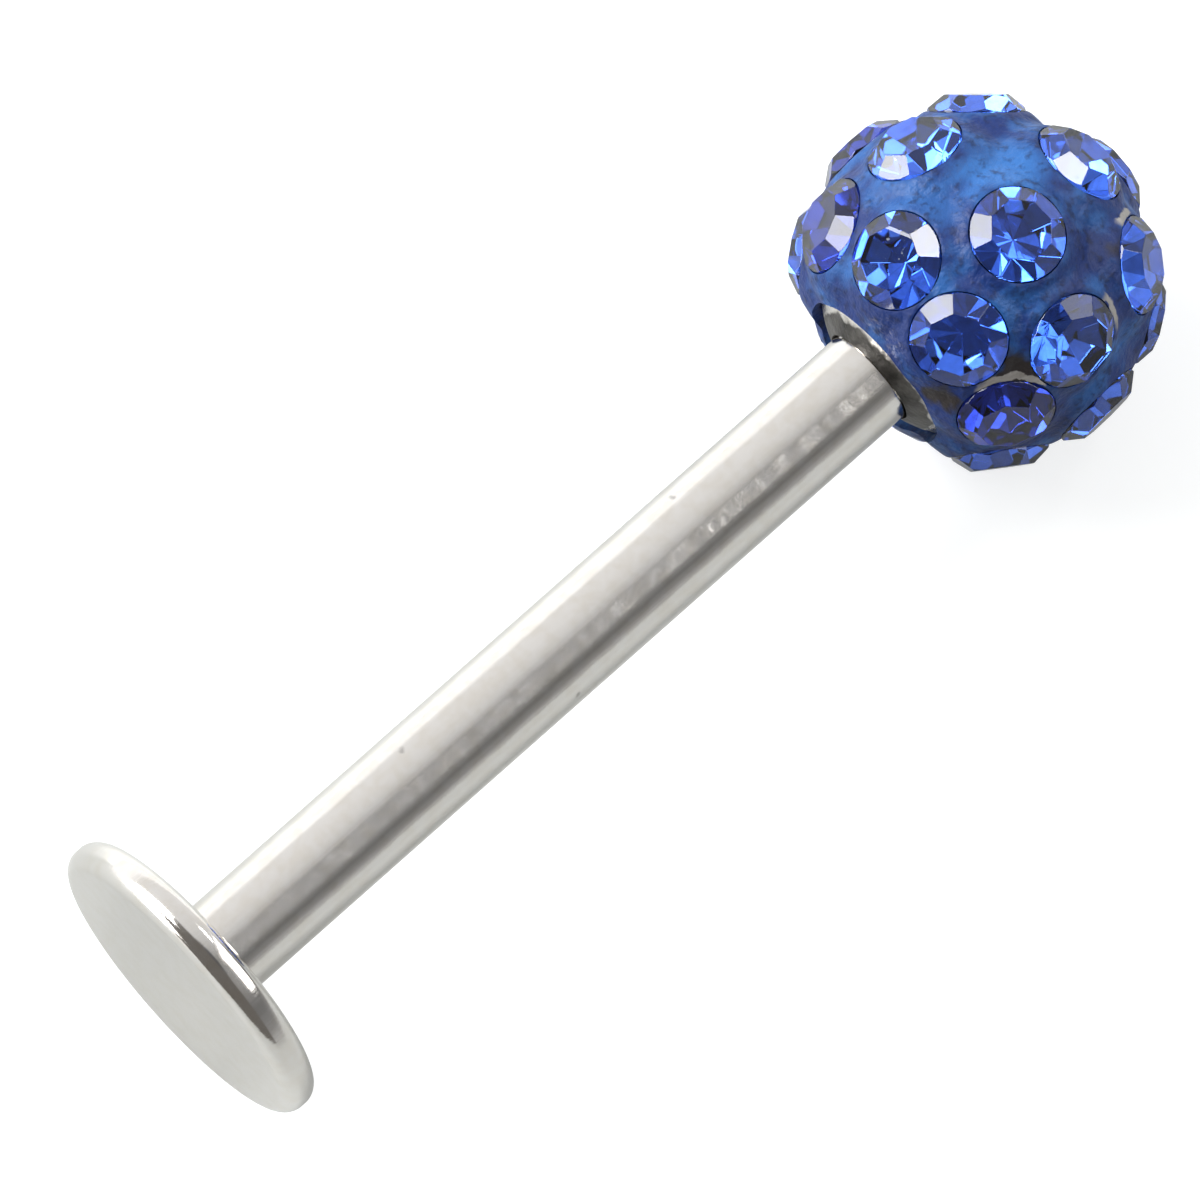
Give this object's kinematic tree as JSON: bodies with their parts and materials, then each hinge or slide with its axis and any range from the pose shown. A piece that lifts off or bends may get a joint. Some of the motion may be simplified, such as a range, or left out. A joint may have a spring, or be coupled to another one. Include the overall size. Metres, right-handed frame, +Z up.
{
  "type": "labret stud",
  "caption": "Flat-back labret stud lying on its side: a round disc and straight steel post in one piece, with a screw-on ball set with small faceted blue crystals.",
  "frame": {"origin": "middle of the bounding box, on the plane the stud lies on", "axes": "+X along the post from the disc to the ball, leaning 0.81 degrees up at the ball; +Z up"},
  "size_m": [0.0148, 0.0044, 0.0043],
  "materials": {
    "polished_steel": "polished, with fine pits and drawing marks",
    "core_steel": "turned, dull",
    "blue_resin": "glossy blue setting resin, uneven between the crystals",
    "blue_crystal": "clear cut, foil-backed"
  },
  "bodies": {
    "post": {"stud_post": "polished_steel"},
    "core": {"ball_core": "core_steel"},
    "ball": {"resin_shell": "blue_resin", "crystal_01": "blue_crystal", "crystal_02": "blue_crystal", "crystal_03": "blue_crystal", "crystal_04": "blue_crystal", "crystal_05": "blue_crystal", "crystal_06": "blue_crystal", "crystal_07": "blue_crystal", "crystal_08": "blue_crystal", "crystal_09": "blue_crystal", "crystal_10": "blue_crystal", "crystal_11": "blue_crystal", "crystal_12": "blue_crystal", "crystal_13": "blue_crystal", "crystal_14": "blue_crystal", "crystal_15": "blue_crystal", "crystal_16": "blue_crystal", "crystal_17": "blue_crystal", "crystal_18": "blue_crystal", "crystal_19": "blue_crystal", "crystal_20": "blue_crystal", "crystal_21": "blue_crystal", "crystal_22": "blue_crystal", "crystal_23": "blue_crystal", "crystal_24": "blue_crystal"}
  },
  "joints": [
    {"name": "ball_travel", "type": "slide", "parent": "post", "child": "core", "axis": [0.9999, 0, 0.0142], "range_m": [0, 0.002]},
    {"name": "ball_turn", "type": "hinge", "parent": "core", "child": "ball", "pos_m": [0.00521, 0, 0.00213], "axis": [0.9999, 0, 0.0142], "range_deg": [0, 2880]}
  ],
  "couplings": [
    {"joint": "ball_turn", "follows": "ball_travel", "rad_per_m": 25133}
  ]
}
